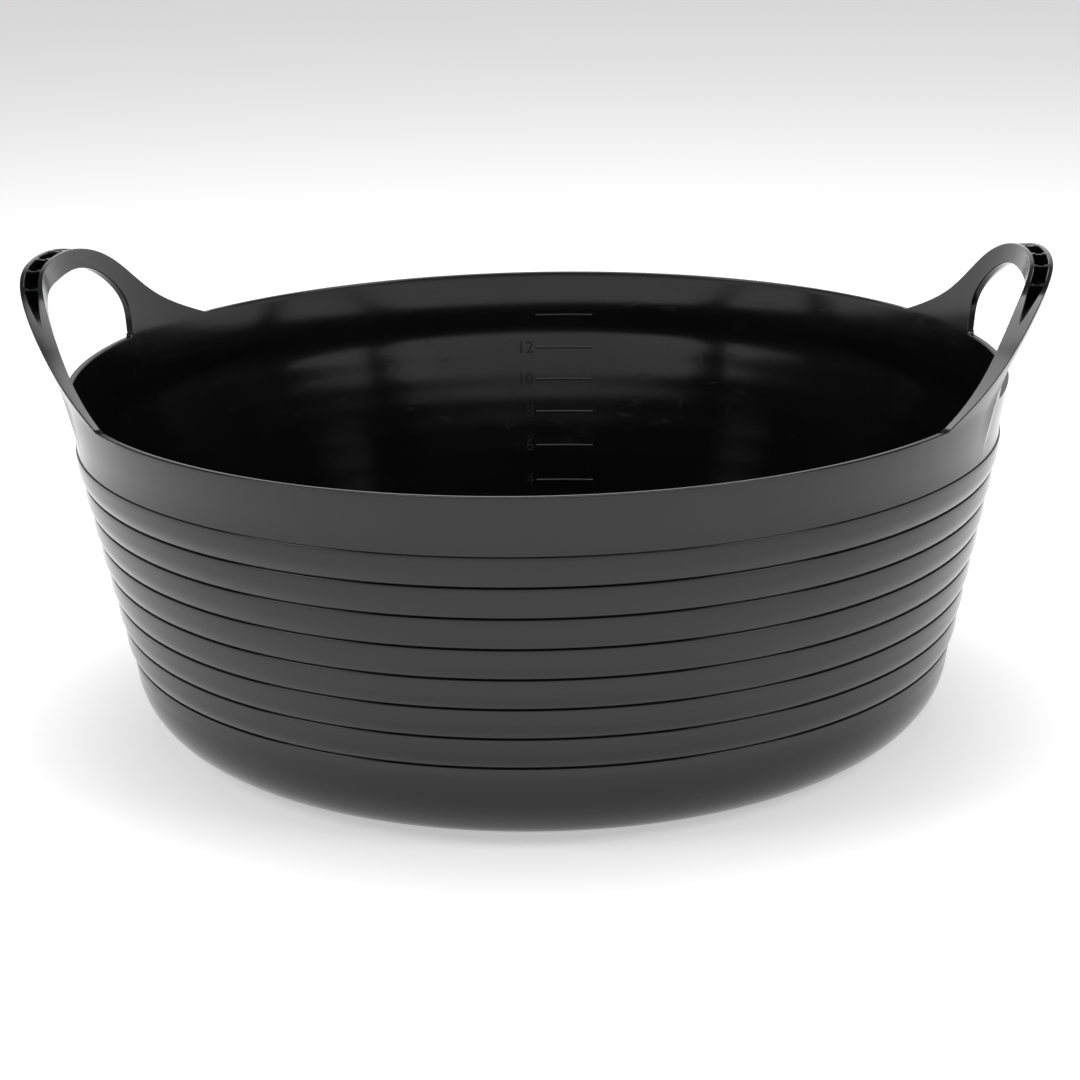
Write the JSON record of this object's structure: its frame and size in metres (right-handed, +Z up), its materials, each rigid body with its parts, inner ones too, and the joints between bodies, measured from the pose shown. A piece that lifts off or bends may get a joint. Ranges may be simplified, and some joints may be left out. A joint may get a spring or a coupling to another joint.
{
  "type": "flexible mixing tub",
  "caption": "Shallow round flexible tub with a stepped tapering wall, rounded base corner, raised fill lines inside and two upright arched channel handles that flex at their roots.",
  "frame": {"origin": "centre of the foot ring, on the floor", "axes": "+Z up; +X towards the right handle; the fill lines are on the inner wall at +Y"},
  "size_m": [0.457, 0.4198, 0.207],
  "materials": {
    "tub_plastic": "satin moulded low-density polyethylene",
    "graduation_plastic": "satin, moulded in one with the wall",
    "handle_plastic": "satin, slightly scuffed on the grip"
  },
  "bodies": {
    "tub": {"rim_band": "tub_plastic", "wall_band_1": "tub_plastic", "wall_band_2": "tub_plastic", "wall_band_3": "tub_plastic", "wall_band_4": "tub_plastic", "wall_band_5": "tub_plastic", "wall_band_6": "tub_plastic", "wall_band_7": "tub_plastic", "lower_wall": "tub_plastic", "base_corner": "tub_plastic", "floor_disc": "tub_plastic", "gate_mark": "tub_plastic", "graduation_lines": "graduation_plastic", "graduation_numerals": "graduation_plastic", "left_handle_roots": "handle_plastic", "right_handle_roots": "handle_plastic"},
    "left_handle": {"left_handle_inner_flange": "handle_plastic", "left_handle_outer_flange": "handle_plastic", "left_handle_grip_web": "handle_plastic", "left_handle_ribs": "handle_plastic", "left_handle_leg_cores": "handle_plastic"},
    "right_handle": {"right_handle_inner_flange": "handle_plastic", "right_handle_outer_flange": "handle_plastic", "right_handle_grip_web": "handle_plastic", "right_handle_ribs": "handle_plastic", "right_handle_leg_cores": "handle_plastic"}
  },
  "joints": [
    {"name": "left_handle_flex", "type": "hinge", "parent": "tub", "child": "left_handle", "pos_m": [-0.18818, 0, 0.157], "axis": [0, 1, 0], "range_deg": [-20, 40], "stiffness_Nm_per_rad": 3},
    {"name": "right_handle_flex", "type": "hinge", "parent": "tub", "child": "right_handle", "pos_m": [0.18818, 0, 0.157], "axis": [0, -1, 0], "range_deg": [-20, 40], "stiffness_Nm_per_rad": 3}
  ]
}
